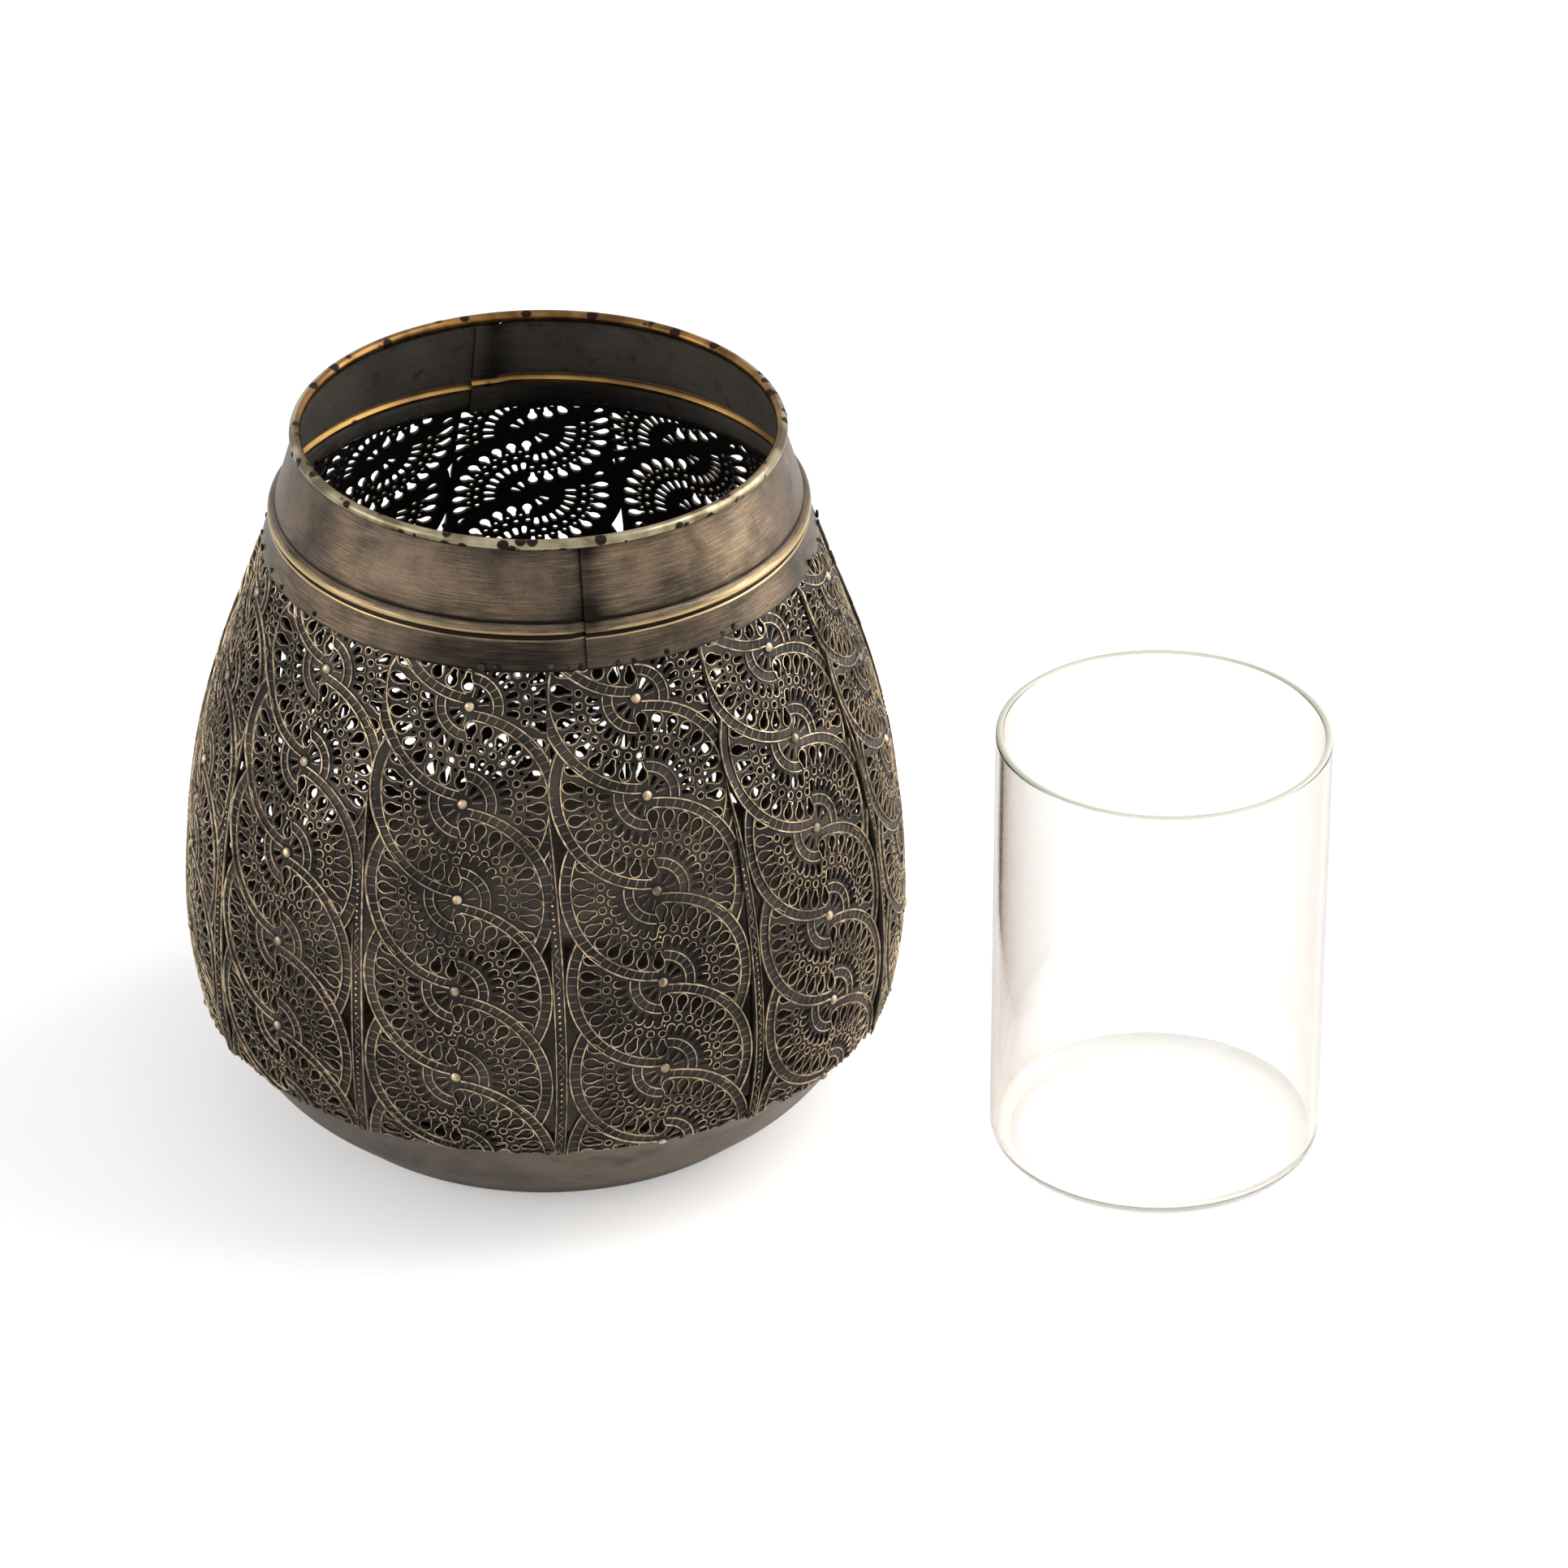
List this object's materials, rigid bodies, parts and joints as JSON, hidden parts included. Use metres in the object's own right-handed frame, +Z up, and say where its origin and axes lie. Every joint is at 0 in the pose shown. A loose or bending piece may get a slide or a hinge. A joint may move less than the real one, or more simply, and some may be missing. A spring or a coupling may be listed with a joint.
{
  "type": "tealight holder",
  "caption": "pear-shaped pierced filigree lantern of creased strips under a beaded collar, with a loose clear glass cup that holds the tealight",
  "frame": {"origin": "centre of the lantern's flat underside, on the surface it stands on", "axes": "+Z up along the lantern's axis, -Y the front as pictured, +X the side where the glass cup stands"},
  "size_m": [0.2696, 0.1708, 0.1767],
  "materials": {
    "pan_brass": "antique patinated brass, brushed, satin",
    "strip_brass": "antique patinated brass, embossed, highlights rubbed bright",
    "collar_brass": "antique patinated brass, streaky brushed, satin",
    "glass": "clear blown glass, fire-polished rim"
  },
  "bodies": {
    "lantern": {"base_pan": "pan_brass", "floor_disc": "pan_brass", "filigree_strip_01": "strip_brass", "filigree_strip_02": "strip_brass", "filigree_strip_03": "strip_brass", "filigree_strip_04": "strip_brass", "filigree_strip_05": "strip_brass", "filigree_strip_06": "strip_brass", "filigree_strip_07": "strip_brass", "filigree_strip_08": "strip_brass", "filigree_strip_09": "strip_brass", "filigree_strip_10": "strip_brass", "filigree_strip_11": "strip_brass", "collar_band_right": "collar_brass", "collar_band_left": "collar_brass", "rim_wire": "collar_brass"},
    "glass": {"glass_cup": "glass"}
  },
  "joints": [
    {"name": "glass_lift", "type": "slide", "parent": "lantern", "child": "glass", "axis": [0, 0, 1], "range_m": [0, 0.18]}
  ]
}
